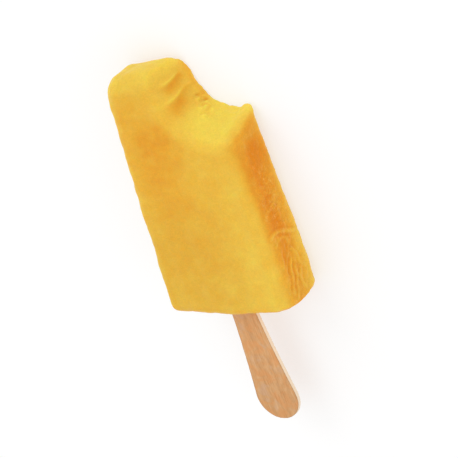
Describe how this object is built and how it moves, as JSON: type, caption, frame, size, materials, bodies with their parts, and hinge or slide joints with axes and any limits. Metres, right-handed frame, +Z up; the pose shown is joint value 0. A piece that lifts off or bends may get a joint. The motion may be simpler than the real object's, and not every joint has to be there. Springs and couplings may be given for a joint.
{
  "type": "ice lolly",
  "caption": "Fruit ice lolly: a tapered rounded block of yellow ice with one bite out of a tip corner, frozen onto a flat flared wooden stick, lying on its back.",
  "frame": {"origin": "middle of the base of the bounding box, on the surface that the lolly's flat back face lies on", "axes": "+Y from the stick to the tip, +Z up out of the front face, +X to the bitten side"},
  "size_m": [0.0502, 0.135, 0.0217],
  "materials": {
    "fruit_ice": null,
    "birch_stick": "plain unvarnished birch, fine straight grain"
  },
  "bodies": {
    "root": {"ice_block": "fruit_ice", "stick": "birch_stick"}
  },
  "joints": []
}
